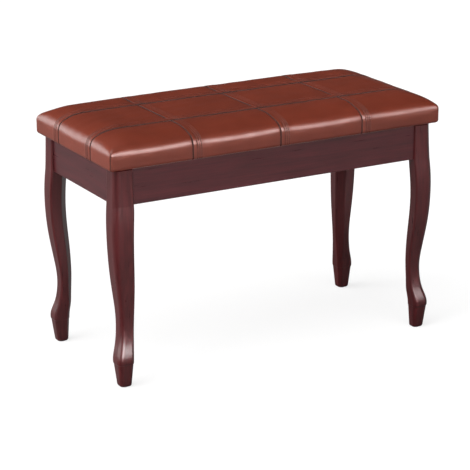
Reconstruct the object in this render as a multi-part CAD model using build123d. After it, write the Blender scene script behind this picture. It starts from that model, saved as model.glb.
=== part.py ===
"""Piano bench with a padded flip-up lid over a shallow music compartment.

Millimetres.  The origin is on the floor under the middle of the bench: +X runs along its length,
+Y towards the hinged rear edge and +Z up.  Each separate piece is written to parts/NODE.step.
"""

import os
from math import acos, cos, pi, radians, sin, sqrt

from build123d import *

# ---- driving dimensions ------------------------------------------------------------------------

SEAT_LENGTH = 762.0
SEAT_DEPTH = 350.0
SEAT_TOP_Z = 514.0
LID_BOTTOM_Z = 454.0
FRAME_TOP_Z = 452.0
APRON_BOTTOM_Z = 378.5
APRON_THICKNESS = 18.0
APRON_FACE_X = 362.5
APRON_FACE_Y = 165.5

# legs: the axis is the corner of the plan that every section is measured from
LEG_AXIS_X = 351.0
LEG_AXIS_Y = 154.0
LEG_BLOCK_INNER = 24.5
LEG_TOE_Z = 51.0
LEG_BOTTOM_Z = 1.5

# cushion
COVER_THICKNESS = 1.0
BORDER_BOTTOM_RADIUS = 8.0
BORDER_TOP_Z = 481.0
RIDGE_RADIUS = 24.0
CROWN_RADIUS = 120.0
PLAN_CORNER_RADIUS = 9.0
BOARD_MARGIN = 9.0
BOARD_TOP_Z = 470.0
COVER_RETURN_MARGIN = 34.0
LINING_THICKNESS = 0.5
LINING_MARGIN_X = 27.0
LINING_MARGIN_Y = 29.0

# music compartment
PANEL_THICKNESS = 4.0
PANEL_BOTTOM_Z = 384.0
GROOVE_DEPTH = 6.0
PANEL_IN_GROOVE = 5.0
CORNER_BLOCK_THICKNESS = 20.0
CORNER_BLOCK_BOTTOM_Z = 390.0
CORNER_BLOCK_TOP_Z = 432.0
HANGER_BOLT_RADIUS = 4.0
HANGER_BOLT_Z = (401.0, 421.0)

# lid hinges: two butt hinges whose axis is along X, behind the rear apron
HINGE_AXIS_Y = 171.0
HINGE_AXIS_Z = 452.0
HINGE_X = (-200.0, 200.0)
HINGE_WIDTH = 60.0
HINGE_KNUCKLES = 5
HINGE_LEAF = 0.9
HINGE_LEAF_START_Y = 149.0
HINGE_SCREW_Y = 156.5
KNUCKLE_RADIUS = 2.4
PIN_RADIUS = 1.2

# lid stays: an arm as long as the reach from the hinge axis to its pivot, and a slotted rail on
# the line through both, so the arm turns by exactly twice the lid's angle
STAY_LENGTH = 125.0
STAY_SLOPE = radians(8.0)
LID_OPEN_ANGLE = radians(75.0)
STAY_PLATE = 1.5
STAY_ARM_WIDTH = 14.0
RAIL_WIDTH = 12.0
STUD_RADIUS = 2.5
PIVOT_CLEARANCE = 0.05
SLOT_CLEARANCE = 0.3

GLIDE_RADIUS = 8.0
BUMPER_X = (-290.0, -110.0, 110.0, 290.0)

CORNERS = {
    "rear_right": (1, 1),
    "rear_left": (-1, 1),
    "front_right": (1, -1),
    "front_left": (-1, -1),
}
SIDES = {"right": 1, "left": -1}

INNER_X = APRON_FACE_X - APRON_THICKNESS
INNER_Y = APRON_FACE_Y - APRON_THICKNESS
BLOCK_X = LEG_AXIS_X - LEG_BLOCK_INNER
BLOCK_Y = LEG_AXIS_Y - LEG_BLOCK_INNER
# the leg's inner corner is cut at 45 degrees, from one apron's inner face to the other's
BLOCK_CUT = INNER_X - BLOCK_X
DIAGONAL_SUM = INNER_X + BLOCK_Y


# ---- helpers -----------------------------------------------------------------------------------


def block(x0, x1, y0, y1, z0, z1):
    """A box between two corners."""
    centre = Pos((x0 + x1) / 2, (y0 + y1) / 2, (z0 + z1) / 2)
    return centre * Box(abs(x1 - x0), abs(y1 - y0), abs(z1 - z0))


def centred_block(half_x, half_y, z0, z1):
    return block(-half_x, half_x, -half_y, half_y, z0, z1)


def rod(start, direction, radius, length):
    """A cylinder from a point, along a direction."""
    return Plane(origin=start, z_dir=direction) * Cylinder(
        radius, length, align=(Align.CENTER, Align.CENTER, Align.MIN)
    )


def cone(start, direction, start_radius, end_radius, length):
    return Plane(origin=start, z_dir=direction) * Cone(
        start_radius, end_radius, length, align=(Align.CENTER, Align.CENTER, Align.MIN)
    )


def flipped(shape, sign_x, sign_y=1):
    """The shape made for +X and +Y, mirrored to another side or corner."""
    if sign_x < 0:
        shape = mirror(shape, about=Plane.YZ)
    if sign_y < 0:
        shape = mirror(shape, about=Plane.XZ)
    return shape


def group(pieces):
    """Separate like solids that share one node."""
    return Compound([solid for piece in pieces for solid in piece.solids()])


def save(name, shape):
    shape.label = name
    export_step(shape, f"parts/{name}.step")


# ---- legs --------------------------------------------------------------------------------------


def leg_section(z, outer, inner, outer_radius, inner_cut, side_radius=4.0):
    """A leg's level section: a square with a rounded outer corner and a cut inner corner.

    outer and inner are the distances of its faces from the leg axis, away from the bench's
    middle and towards it.
    """
    outline = FilletPolyline(
        (outer, outer),
        (-inner, outer),
        (-inner, inner_cut - inner),
        (inner_cut - inner, -inner),
        (outer, -inner),
        radius=[outer_radius, side_radius, 3.0, 3.0, side_radius],
        close=True,
    )
    return Pos(LEG_AXIS_X, LEG_AXIS_Y, z) * make_face(outline)


def cabriole_leg():
    """The leg at +X +Y: bevelled block, knee, slim ankle, and a rounded toe over a tapered pad."""
    inner = LEG_BLOCK_INNER
    cut = BLOCK_CUT
    bevel = [
        leg_section(FRAME_TOP_Z - 1.8, 15.5, inner, 13, cut),
        leg_section(FRAME_TOP_Z, 14.0, inner, 12, cut),
    ]
    top_block = [
        leg_section(APRON_BOTTOM_Z, 18.0, inner, 14, cut),
        leg_section(415, 16.5, inner, 13.5, cut),
        leg_section(FRAME_TOP_Z - 1.8, 15.5, inner, 13, cut),
    ]
    toe = (LEG_TOE_Z, 17.2, 18.0, 10.5, 8, 8.0)
    shank = [
        leg_section(*toe),
        leg_section(61, 17.2, 18.5, 10.5, 8, 8.0),
        leg_section(73, 14.4, 19.8, 10.0, 8, 7.5),
        leg_section(87, 10.2, 21.7, 10.0, 9, 6.5),
        leg_section(104, 6.8, 23.0, 10.0, 11, 5.0),
        leg_section(124, 4.9, 24.4, 10.0, 13, 4.5),
        leg_section(148, 4.9, 25.4, 10.0, 14),
        leg_section(176, 7.8, 25.5, 10.0, 15),
        leg_section(208, 12.4, 24.6, 11.0, 16),
        leg_section(247, 17.4, 22.6, 12.5, 17),
        leg_section(285, 20.3, 21.4, 14.0, 18),
        leg_section(316, 21.2, 21.5, 15.0, 18),
        leg_section(345, 20.6, 22.8, 15.0, 18),
        leg_section(APRON_BOTTOM_Z, 18.0, inner, 14, cut),
    ]
    pad = [
        leg_section(LEG_BOTTOM_Z, 8.2, 12.4, 7.0, 5, 6.0),
        leg_section(LEG_BOTTOM_Z + 0.5, 9.1, 13.2, 7.2, 5, 6.2),
        leg_section(LEG_BOTTOM_Z + 1.8, 10.2, 14.1, 7.6, 5.5, 6.6),
        leg_section(LEG_BOTTOM_Z + 4.5, 11.0, 14.6, 8.0, 6, 7.0),
        leg_section(LEG_TOE_Z - 1.8, 16.2, 17.4, 10.0, 8, 8.0),
        leg_section(*toe),
    ]
    leg = loft(bevel, ruled=True) + loft(top_block) + loft(shank) + loft(pad, ruled=True)
    return leg - glide_nail()


def glide_nail():
    centre_x, centre_y = foot_centre()
    return rod((centre_x, centre_y, LEG_BOTTOM_Z), (0, 0, 1), 1.2, 12)


def foot_centre():
    """Middle of the foot's pad, under the leg at +X +Y."""
    return LEG_AXIS_X - 2.1, LEG_AXIS_Y - 2.1


def foot_glide():
    """A nylon disc with a nail moulded in its middle."""
    centre_x, centre_y = foot_centre()
    disc = rod((centre_x, centre_y, 0), (0, 0, 1), GLIDE_RADIUS, LEG_BOTTOM_Z)
    disc = fillet(disc.edges().group_by(Axis.Z)[0], 0.5)
    return disc + glide_nail()


# ---- aprons and compartment --------------------------------------------------------------------


def panel_groove(half_x, half_y):
    """The ring of air that the four apron grooves make."""
    z0, z1 = PANEL_BOTTOM_Z, PANEL_BOTTOM_Z + PANEL_THICKNESS
    return centred_block(half_x, half_y, z0, z1)


def apron_across():
    """The rear apron, between the rear legs."""
    board = block(-BLOCK_X, BLOCK_X, INNER_Y, APRON_FACE_Y, APRON_BOTTOM_Z, FRAME_TOP_Z)
    outer_edges = board.edges().filter_by(Axis.X).group_by(Axis.Y)[-1]
    board = fillet(outer_edges, 1.5)
    return board - panel_groove(BLOCK_X + 1, INNER_Y + GROOVE_DEPTH)


def apron_along():
    """The right apron, between the right legs."""
    board = block(INNER_X, APRON_FACE_X, -BLOCK_Y, BLOCK_Y, APRON_BOTTOM_Z, FRAME_TOP_Z)
    outer_edges = board.edges().filter_by(Axis.Y).group_by(Axis.X)[-1]
    board = fillet(outer_edges, 1.5)
    return board - panel_groove(INNER_X + GROOVE_DEPTH, BLOCK_Y + 1)


def bottom_panel():
    """Hardboard panel in the aprons' grooves, with its corners cut clear of the legs."""
    half_x = INNER_X + PANEL_IN_GROOVE
    half_y = INNER_Y + PANEL_IN_GROOVE
    reach = DIAGONAL_SUM - 2
    outline = Polyline(
        (half_x, reach - half_x),
        (reach - half_y, half_y),
        (half_y - reach, half_y),
        (-half_x, reach - half_x),
        (-half_x, half_x - reach),
        (half_y - reach, -half_y),
        (reach - half_y, -half_y),
        (half_x, half_x - reach),
        close=True,
    )
    return Pos(0, 0, PANEL_BOTTOM_Z) * extrude(make_face(outline), PANEL_THICKNESS)


# distances along the 45 degree line from a leg's cut corner towards the bench's middle
DIAGONAL_IN = (-1, -1, 0)
DIAGONAL_OUT = (1, 1, 0)


def diagonal_point(inward, along, z):
    """A point near the +X +Y corner: how far in from the leg's cut face, and along that face."""
    middle_x = (INNER_X + BLOCK_X) / 2
    middle_y = (INNER_Y + BLOCK_Y) / 2
    return (
        middle_x - (inward + along) / sqrt(2),
        middle_y - (inward - along) / sqrt(2),
        z,
    )


def corner_block_screw_places():
    """Four screws through the block's inner face, two into each apron."""
    half_face = BLOCK_CUT / sqrt(2) + CORNER_BLOCK_THICKNESS - 10
    heights = (CORNER_BLOCK_BOTTOM_Z + 10, CORNER_BLOCK_TOP_Z - 10)
    return [
        diagonal_point(CORNER_BLOCK_THICKNESS, side * half_face, z) for side in (-1, 1) for z in heights
    ]


def wood_screw(start, direction, length, radius=1.9, head_radius=3.8):
    """A countersunk screw whose head is flush at the start point."""
    head_height = head_radius - radius
    screw = cone(start, direction, head_radius, radius, head_height)
    screw += rod(start, direction, radius, length - 4)
    tip = Vector(start) + Vector(direction).normalized() * (length - 4)
    screw += cone(tuple(tip), direction, radius, 0.3, 4)
    slot = Plane(origin=start, z_dir=direction) * Box(0.9, 2 * head_radius, 1.4)
    cross = Plane(origin=start, z_dir=direction) * Box(2 * head_radius, 0.9, 1.4)
    recess = (slot + cross) & rod(start, direction, head_radius * 0.62, 0.7)
    return screw - recess


def corner_block():
    """The glued and screwed brace at +X +Y, which the leg's hanger bolts pull against."""
    spread = CORNER_BLOCK_THICKNESS * sqrt(2)
    outline = Polyline(
        (INNER_X, BLOCK_Y),
        (BLOCK_X, INNER_Y),
        (BLOCK_X - spread, INNER_Y),
        (INNER_X, BLOCK_Y - spread),
        close=True,
    )
    height = CORNER_BLOCK_TOP_Z - CORNER_BLOCK_BOTTOM_Z
    brace = Pos(0, 0, CORNER_BLOCK_BOTTOM_Z) * extrude(make_face(outline), height)
    for z in HANGER_BOLT_Z:
        hole = rod(diagonal_point(-1, 0, z), DIAGONAL_IN, HANGER_BOLT_RADIUS + 0.3, 30)
        brace -= hole
    return brace


def hanger_bolts():
    """Threaded rods screwed into the leg, with a nut on their inner end."""
    return [
        chamfer(
            rod(diagonal_point(-26, 0, z), DIAGONAL_IN, HANGER_BOLT_RADIUS, 63).edges(), 0.8
        )
        for z in HANGER_BOLT_Z
    ]


def bolt_washers():
    face = CORNER_BLOCK_THICKNESS
    washers = []
    for z in HANGER_BOLT_Z:
        washer = rod(diagonal_point(face, 0, z), DIAGONAL_IN, 8.5, 1.6)
        washers.append(washer - rod(diagonal_point(face - 1, 0, z), DIAGONAL_IN, 4.3, 4))
    return washers


def wing_nuts():
    """A tapered hub with two rounded wings, set level so that neighbours don't touch."""
    face = CORNER_BLOCK_THICKNESS + 1.6
    nuts = []
    for z in HANGER_BOLT_Z:
        start = diagonal_point(face, 0, z)
        place = Plane(origin=start, x_dir=(-1, 1, 0), z_dir=DIAGONAL_IN)
        hub = cone(start, DIAGONAL_IN, 6.6, 5.4, 7.5)
        wings = Box(30, 2.4, 13, align=(Align.CENTER, Align.CENTER, Align.MIN))
        wings = fillet(wings.edges().filter_by(Axis.Y), 5)
        gap = Pos(0, 0, 7.5) * Box(11, 6, 7, align=(Align.CENTER, Align.CENTER, Align.MIN))
        nut = hub + place * (Pos(0, 0, 1) * (wings - gap))
        thread = rod(diagonal_point(face - 1, 0, z), DIAGONAL_IN, HANGER_BOLT_RADIUS, 20)
        nuts.append(nut - thread)
    return nuts


def leg_with_bolt_holes():
    leg = cabriole_leg()
    for z in HANGER_BOLT_Z:
        leg -= rod(diagonal_point(1, 0, z), DIAGONAL_OUT, HANGER_BOLT_RADIUS, 27)
    return leg


# ---- lid ---------------------------------------------------------------------------------------


def cushion_profile(half, inset):
    """Upright outline of the seat across its length or depth, set in by the cover's thickness.

    A rounded bottom edge, an upright border, a round ridge, then one long arc up to a flat crown.
    """
    bottom = LID_BOTTOM_Z + inset
    top = SEAT_TOP_Z - inset
    low_radius = BORDER_BOTTOM_RADIUS - inset
    ridge = RIDGE_RADIUS - inset
    crown = CROWN_RADIUS - inset
    rise = (BORDER_TOP_Z + crown - top) / (crown - ridge)
    reach = sqrt(1 - rise**2)
    low_centre = (half - BORDER_BOTTOM_RADIUS, LID_BOTTOM_Z + BORDER_BOTTOM_RADIUS)
    ridge_centre = (half - RIDGE_RADIUS, BORDER_TOP_Z)
    crown_centre = (ridge_centre[0] + (ridge - crown) * reach, top - crown)
    slant = acos(rise) / 2

    def on(centre, radius, angle):
        return (centre[0] + radius * cos(angle), centre[1] + radius * sin(angle))

    normal = pi / 2 - 2 * slant
    border_low = on(low_centre, low_radius, 0)
    ridge_start = on(ridge_centre, ridge, 0)
    ridge_end = on(ridge_centre, ridge, normal)
    right = [
        Line((0, bottom), (low_centre[0], bottom)),
        ThreePointArc((low_centre[0], bottom), on(low_centre, low_radius, -pi / 4), border_low),
        Line(border_low, ridge_start),
        ThreePointArc(ridge_start, on(ridge_centre, ridge, normal / 2), ridge_end),
        ThreePointArc(ridge_end, on(crown_centre, crown, normal + slant), (crown_centre[0], top)),
        Line((crown_centre[0], top), (0, top)),
    ]
    outline = Curve() + right
    return make_face(outline + mirror(outline, about=Plane.YZ))


def cushion(inset):
    """The seat's whole body: its two upright outlines and its rounded plan, all met."""
    half_x = SEAT_LENGTH / 2
    half_y = SEAT_DEPTH / 2
    lengthwise = extrude(Plane.XZ * cushion_profile(half_x, inset), half_y, both=True)
    depthwise = extrude(Plane.YZ * cushion_profile(half_y, inset), half_x, both=True)
    plan = RectangleRounded(
        SEAT_LENGTH - 2 * inset, SEAT_DEPTH - 2 * inset, PLAN_CORNER_RADIUS - inset
    )
    upright = Pos(0, 0, LID_BOTTOM_Z) * extrude(plan, SEAT_TOP_Z - LID_BOTTOM_Z)
    return lengthwise & depthwise & upright


def lid_board():
    """Plywood, thinned at its rim where the cover is turned under it."""
    half_x = SEAT_LENGTH / 2
    half_y = SEAT_DEPTH / 2
    plan = RectangleRounded(
        SEAT_LENGTH - 2 * BOARD_MARGIN, SEAT_DEPTH - 2 * BOARD_MARGIN, PLAN_CORNER_RADIUS
    )
    turned = LID_BOTTOM_Z + COVER_THICKNESS
    board = Pos(0, 0, turned) * extrude(plan, BOARD_TOP_Z - turned)
    middle = centred_block(
        half_x - COVER_RETURN_MARGIN, half_y - COVER_RETURN_MARGIN, LID_BOTTOM_Z, turned
    )
    return board + middle


def seat_cover(outer, inner):
    """The sewn skin: over the crown, down the borders and turned under the board."""
    opening = centred_block(
        SEAT_LENGTH / 2 - COVER_RETURN_MARGIN,
        SEAT_DEPTH / 2 - COVER_RETURN_MARGIN,
        LID_BOTTOM_Z - 1,
        LID_BOTTOM_Z + COVER_THICKNESS,
    )
    return outer - inner - opening


LINING_HALF_X = SEAT_LENGTH / 2 - LINING_MARGIN_X
LINING_HALF_Y = SEAT_DEPTH / 2 - LINING_MARGIN_Y
LINING_BOTTOM_Z = LID_BOTTOM_Z - LINING_THICKNESS


def lining_staples():
    """Wire staples round the lining, at an even spacing along each side."""
    crown_length, wire, height = 10.0, 0.9, 6.0
    margin = 5.0

    def staple(x, y, along_x):
        size = (crown_length, wire) if along_x else (wire, crown_length)
        crown = Pos(x, y, LINING_BOTTOM_Z - wire / 2) * Box(*size, wire)
        for end in (-1, 1):
            offset = end * (crown_length - wire) / 2
            leg_x, leg_y = (x + offset, y) if along_x else (x, y + offset)
            leg = Box(wire, wire, height, align=(Align.CENTER, Align.CENTER, Align.MIN))
            crown += Pos(leg_x, leg_y, LINING_BOTTOM_Z) * leg
        return crown

    staples = []
    for sign in (-1, 1):
        for step in range(-4, 5):
            staples.append(staple(step * 80.0, sign * (LINING_HALF_Y - margin), True))
        for step in range(-1, 2):
            staples.append(staple(sign * (LINING_HALF_X - margin), step * 90.0, False))
    return staples


# ---- hinges ------------------------------------------------------------------------------------


def hinge_leaf(centre_x, upper):
    """One leaf of a butt hinge: a plate with every other knuckle, and three screw holes."""
    z0 = LID_BOTTOM_Z - HINGE_LEAF if upper else FRAME_TOP_Z
    z1 = z0 + HINGE_LEAF
    half = HINGE_WIDTH / 2
    plate_end = HINGE_AXIS_Y - KNUCKLE_RADIUS - 0.3
    leaf = block(centre_x - half, centre_x + half, HINGE_LEAF_START_Y, plate_end, z0, z1)
    pitch = HINGE_WIDTH / HINGE_KNUCKLES
    for index in range(1 if upper else 0, HINGE_KNUCKLES, 2):
        x0 = centre_x - half + index * pitch + 0.2
        length = pitch - 0.4
        start = (x0, HINGE_AXIS_Y, HINGE_AXIS_Z)
        leaf += block(x0, x0 + length, plate_end, HINGE_AXIS_Y, z0, z1)
        leaf += rod(start, (1, 0, 0), KNUCKLE_RADIUS, length)
    bore_start = (centre_x - half - 1, HINGE_AXIS_Y, HINGE_AXIS_Z)
    leaf -= rod(bore_start, (1, 0, 0), PIN_RADIUS + PIVOT_CLEARANCE, HINGE_WIDTH + 2)
    for x in hinge_screw_x(centre_x):
        leaf -= hinge_screw(x, upper, hole=True)
    return leaf


def hinge_screw_x(centre_x):
    return [centre_x + offset for offset in (-21.0, 0.0, 21.0)]


def hinge_screw(x, upper, hole=False):
    """A small flat-head screw, up into the lid or down into the apron, or its hole."""
    face = LID_BOTTOM_Z - HINGE_LEAF if upper else FRAME_TOP_Z + HINGE_LEAF
    direction = (0, 0, 1) if upper else (0, 0, -1)
    start = (x, HINGE_SCREW_Y, face)
    head = cone(start, direction, 2.7, 1.8, HINGE_LEAF)
    if hole:
        return head
    return head + cone(start, direction, 1.8, 0.6, 13)


def hinge_pin(centre_x):
    """The pin, with a domed head at each end of the barrel."""
    half = HINGE_WIDTH / 2
    start = (centre_x - half, HINGE_AXIS_Y, HINGE_AXIS_Z)
    pin = rod(start, (1, 0, 0), PIN_RADIUS, HINGE_WIDTH)
    for sign in (-1, 1):
        end = (centre_x + sign * half, HINGE_AXIS_Y, HINGE_AXIS_Z)
        head = rod(end, (sign, 0, 0), KNUCKLE_RADIUS - 0.2, 1.4)
        outer = head.edges().sort_by(lambda edge: abs(edge.center().X - centre_x))[-1]
        pin += fillet(outer, 1.0)
    return pin


# ---- lid stays ---------------------------------------------------------------------------------

# layers of the right stay, counted inwards from the right apron's inner face
STUD_HEAD_X = INNER_X - 2.3
RAIL_X = INNER_X - 4.3
ARM_X = INNER_X - 8.3
BRACKET_X = INNER_X - 10.3
FLANGE_WIDTH = 18.0


def stay_point(distance, across=0.0):
    """Y and Z at a distance from the hinge axis down the rail's line, and square to that line."""
    return (
        HINGE_AXIS_Y - distance * cos(STAY_SLOPE) - across * sin(STAY_SLOPE),
        HINGE_AXIS_Z - distance * sin(STAY_SLOPE) + across * cos(STAY_SLOPE),
    )


def stay_plate(x, start, end, width, thickness=STAY_PLATE):
    """A flat strip on the rail's line with round ends centred at two distances; x is its inner face."""
    outline = Pos((start + end) / 2, 0) * SlotCenterToCenter(end - start, width)
    plane = Plane(
        origin=(x, HINGE_AXIS_Y, HINGE_AXIS_Z),
        x_dir=(0, -cos(STAY_SLOPE), -sin(STAY_SLOPE)),
        z_dir=(1, 0, 0),
    )
    return plane * extrude(outline, thickness)


def across_stay(x, distance, radius, length):
    y, z = stay_point(distance)
    return rod((x, y, z), (1, 0, 0), radius, length)


SLOT_REAR = 2 * STAY_LENGTH * cos(LID_OPEN_ANGLE)
SLOT_FRONT = 2 * STAY_LENGTH
RAIL_SCREW_AT = (50.0, 266.0)


def stay_rail():
    """The right rail: a strip joggled off the apron at both ends, with a long slot."""
    near, far = RAIL_X, INNER_X
    rear_screw, front_screw = RAIL_SCREW_AT
    lengthwise = [
        (rear_screw - 6.5, far),
        (rear_screw + 4.5, far),
        (rear_screw + 8.0, near + STAY_PLATE),
        (front_screw - 8.0, near + STAY_PLATE),
        (front_screw - 4.5, far),
        (front_screw + 6.5, far),
        (front_screw + 6.5, far - STAY_PLATE),
        (front_screw - 5.2, far - STAY_PLATE),
        (front_screw - 8.7, near),
        (rear_screw + 8.7, near),
        (rear_screw + 5.2, far - STAY_PLATE),
        (rear_screw - 6.5, far - STAY_PLATE),
    ]
    plane = Plane(
        origin=(0, HINGE_AXIS_Y, HINGE_AXIS_Z),
        x_dir=(0, -cos(STAY_SLOPE), -sin(STAY_SLOPE)),
        z_dir=(0, -sin(STAY_SLOPE), cos(STAY_SLOPE)),
    )
    rail = extrude(plane * make_face(Polyline(*lengthwise, close=True)), RAIL_WIDTH / 2, both=True)
    slot_width = 2 * (STUD_RADIUS + SLOT_CLEARANCE)
    rail -= stay_plate(near - 1, SLOT_REAR, SLOT_FRONT, slot_width, 2 * STAY_PLATE)
    for distance in RAIL_SCREW_AT:
        rail -= across_stay(far - 3, distance, 2.0, 5)
    return rail


def rail_screw(distance):
    """A pan-head screw through a rail's foot into the apron."""
    y, z = stay_point(distance)
    seat = INNER_X - STAY_PLATE
    head = rod((seat, y, z), (-1, 0, 0), 3.8, 1.5)
    head = fillet(head.edges().group_by(Axis.X)[0], 1.0)
    return head + cone((seat, y, z), (1, 0, 0), 1.9, 0.8, 14)


def stay_arm():
    """The right arm, from its pivot on the lid bracket to the stud in the rail's slot."""
    arm = stay_plate(ARM_X, STAY_LENGTH, SLOT_FRONT, STAY_ARM_WIDTH)
    arm -= across_stay(ARM_X - 1, STAY_LENGTH, STUD_RADIUS + PIVOT_CLEARANCE, 4)
    arm -= across_stay(ARM_X - 1, SLOT_FRONT, STUD_RADIUS, 4)
    return arm


def stay_stud():
    """The headed stud riveted in the arm, which slides in the rail's slot."""
    inner_head = across_stay(ARM_X - 1.4, SLOT_FRONT, 4.2, 1.4)
    shank = across_stay(ARM_X - 1.4, SLOT_FRONT, STUD_RADIUS, STUD_HEAD_X - ARM_X + 1.4)
    collar_start = ARM_X + STAY_PLATE
    collar = across_stay(collar_start, SLOT_FRONT, 4.2, RAIL_X - 0.5 - collar_start)
    keeper = across_stay(STUD_HEAD_X, SLOT_FRONT, 4.6, 1.7)
    return inner_head + shank + collar + keeper


def stay_bracket():
    """The right lid bracket: an angle with a flange under the board and a tongue for the pivot."""
    y, z = stay_point(STAY_LENGTH)
    top = LINING_BOTTOM_Z
    tongue = block(BRACKET_X - STAY_PLATE, BRACKET_X, y - 9, y + 9, z, top)
    tongue += rod((BRACKET_X - STAY_PLATE, y, z), (1, 0, 0), 9, STAY_PLATE)
    flange = block(
        BRACKET_X - FLANGE_WIDTH, BRACKET_X, y - 20, y + 20, top - STAY_PLATE, top
    )
    bracket = tongue + flange
    bracket -= rod((BRACKET_X - 3, y, z), (1, 0, 0), STUD_RADIUS, 6)
    for screw_y in bracket_screw_y():
        bracket -= rod((bracket_screw_x(), screw_y, top - 3), (0, 0, 1), 2.0, 5)
    return bracket


def bracket_screw_x():
    return BRACKET_X - FLANGE_WIDTH / 2 - 1


def bracket_screw_y():
    y = stay_point(STAY_LENGTH)[0]
    return (y - 13, y + 13)


def bracket_screw(y):
    seat = LINING_BOTTOM_Z - STAY_PLATE
    x = bracket_screw_x()
    head = rod((x, y, seat), (0, 0, -1), 3.6, 1.5)
    head = fillet(head.edges().group_by(Axis.Z)[0], 1.0)
    return head + cone((x, y, seat), (0, 0, 1), 1.9, 0.8, 13)


def pivot_rivet():
    """The rivet fixed in the bracket's tongue that the arm turns on."""
    inner_head = across_stay(BRACKET_X - STAY_PLATE - 1.4, STAY_LENGTH, 4.4, 1.4)
    length = ARM_X - BRACKET_X + 2 * STAY_PLATE
    shank = across_stay(BRACKET_X - STAY_PLATE, STAY_LENGTH, STUD_RADIUS, length + 0.3)
    outer_head = across_stay(ARM_X + STAY_PLATE + 0.3, STAY_LENGTH, 4.4, 1.3)
    return inner_head + shank + outer_head


# ---- bumpers -----------------------------------------------------------------------------------


def lid_bumpers():
    """Rubber discs on the front apron's top edge that the closed lid rests on."""
    y = -(INNER_Y + APRON_THICKNESS / 2)
    height = LID_BOTTOM_Z - FRAME_TOP_Z - 0.1
    bumpers = []
    for x in BUMPER_X:
        disc = rod((x, y, FRAME_TOP_Z), (0, 0, 1), 5, height)
        bumpers.append(fillet(disc.edges().group_by(Axis.Z)[-1], 0.8))
    return bumpers


# ---- the whole bench ---------------------------------------------------------------------------


def save_frame():
    leg = leg_with_bolt_holes()
    glide = foot_glide()
    brace = corner_block()
    for name, (sign_x, sign_y) in CORNERS.items():
        save(f"{name}_leg", flipped(leg, sign_x, sign_y))
        save(f"{name}_glide", flipped(glide, sign_x, sign_y))
        save(f"{name}_corner_block", flipped(brace, sign_x, sign_y))

    screws = [wood_screw(place, DIAGONAL_OUT, 26) for place in corner_block_screw_places()]
    at_each_corner = {
        "corner_block_screws": screws,
        "leg_hanger_bolts": hanger_bolts(),
        "leg_bolt_washers": bolt_washers(),
        "leg_wing_nuts": wing_nuts(),
    }
    for name, pieces in at_each_corner.items():
        save(name, group(flipped(piece, *signs) for signs in CORNERS.values() for piece in pieces))

    save("rear_apron", apron_across())
    save("front_apron", flipped(apron_across(), 1, -1))
    save("right_apron", apron_along())
    save("left_apron", flipped(apron_along(), -1))
    save("bottom_panel", bottom_panel())
    save("lid_bumpers", group(lid_bumpers()))


def save_lid():
    outer = cushion(0)
    inner = cushion(COVER_THICKNESS)
    board = lid_board()
    save("lid_board", board)
    save("foam_pad", inner - board)
    save("seat_cover", seat_cover(outer, inner))
    save("lid_lining", centred_block(LINING_HALF_X, LINING_HALF_Y, LINING_BOTTOM_Z, LID_BOTTOM_Z))
    save("lining_staples", group(lining_staples()))


def save_hinges():
    for side, centre_x in zip(("left", "right"), HINGE_X):
        save(f"{side}_hinge_lower_leaf", hinge_leaf(centre_x, upper=False))
        save(f"{side}_hinge_upper_leaf", hinge_leaf(centre_x, upper=True))
        save(f"{side}_hinge_pin", hinge_pin(centre_x))
    places = [x for centre_x in HINGE_X for x in hinge_screw_x(centre_x)]
    save("hinge_apron_screws", group(hinge_screw(x, upper=False) for x in places))
    save("hinge_lid_screws", group(hinge_screw(x, upper=True) for x in places))


def save_stays():
    pieces = {
        "stay_rail": stay_rail(),
        "stay_arm": stay_arm(),
        "stay_stud": stay_stud(),
        "stay_bracket": stay_bracket(),
        "stay_pivot_rivet": pivot_rivet(),
    }
    for side, sign in SIDES.items():
        for name, piece in pieces.items():
            save(f"{side}_{name}", flipped(piece, sign))
    rail_screws = [rail_screw(distance) for distance in RAIL_SCREW_AT]
    bracket_screws = [bracket_screw(y) for y in bracket_screw_y()]
    for name, screws in (("stay_rail_screws", rail_screws), ("stay_bracket_screws", bracket_screws)):
        save(name, group(flipped(screw, sign) for sign in SIDES.values() for screw in screws))


os.makedirs("parts", exist_ok=True)
save_frame()
save_lid()
save_hinges()
save_stays()
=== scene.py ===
"""Visible surfaces of a piano bench with a padded flip-up lid, built around its CAD frame.

Metres.  The origin is on the floor under the middle of the bench: +X runs along its length,
+Y towards the hinged rear edge and +Z up.
"""

import math

import bpy
import numpy as np
from bpy.props import (
    FloatProperty,
    FloatVectorProperty,
    IntProperty,
    PointerProperty,
    StringProperty,
)
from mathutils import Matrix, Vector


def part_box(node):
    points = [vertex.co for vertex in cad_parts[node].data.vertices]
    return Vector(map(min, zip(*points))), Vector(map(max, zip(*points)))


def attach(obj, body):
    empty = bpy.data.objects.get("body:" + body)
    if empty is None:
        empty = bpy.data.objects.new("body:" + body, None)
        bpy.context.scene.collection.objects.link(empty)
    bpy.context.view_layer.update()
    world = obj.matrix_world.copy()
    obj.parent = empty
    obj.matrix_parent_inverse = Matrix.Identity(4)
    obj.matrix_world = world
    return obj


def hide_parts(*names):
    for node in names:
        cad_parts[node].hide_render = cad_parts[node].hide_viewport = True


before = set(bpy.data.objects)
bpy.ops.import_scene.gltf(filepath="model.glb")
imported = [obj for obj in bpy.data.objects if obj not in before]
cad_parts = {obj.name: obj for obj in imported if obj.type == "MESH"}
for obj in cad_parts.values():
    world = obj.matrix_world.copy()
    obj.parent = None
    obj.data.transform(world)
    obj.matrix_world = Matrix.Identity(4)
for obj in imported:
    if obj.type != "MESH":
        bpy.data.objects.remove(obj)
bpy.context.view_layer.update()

bl_info = {
    "name": "Piano bench",
    "version": (1, 0, 0),
    "blender": (4, 5, 0),
    "location": "View3D > Sidebar > Piano bench",
    "description": "Builds the looks of a piano bench with a padded flip-up lid on its CAD frame",
    "category": "Object",
}

MM = 0.001

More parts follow.
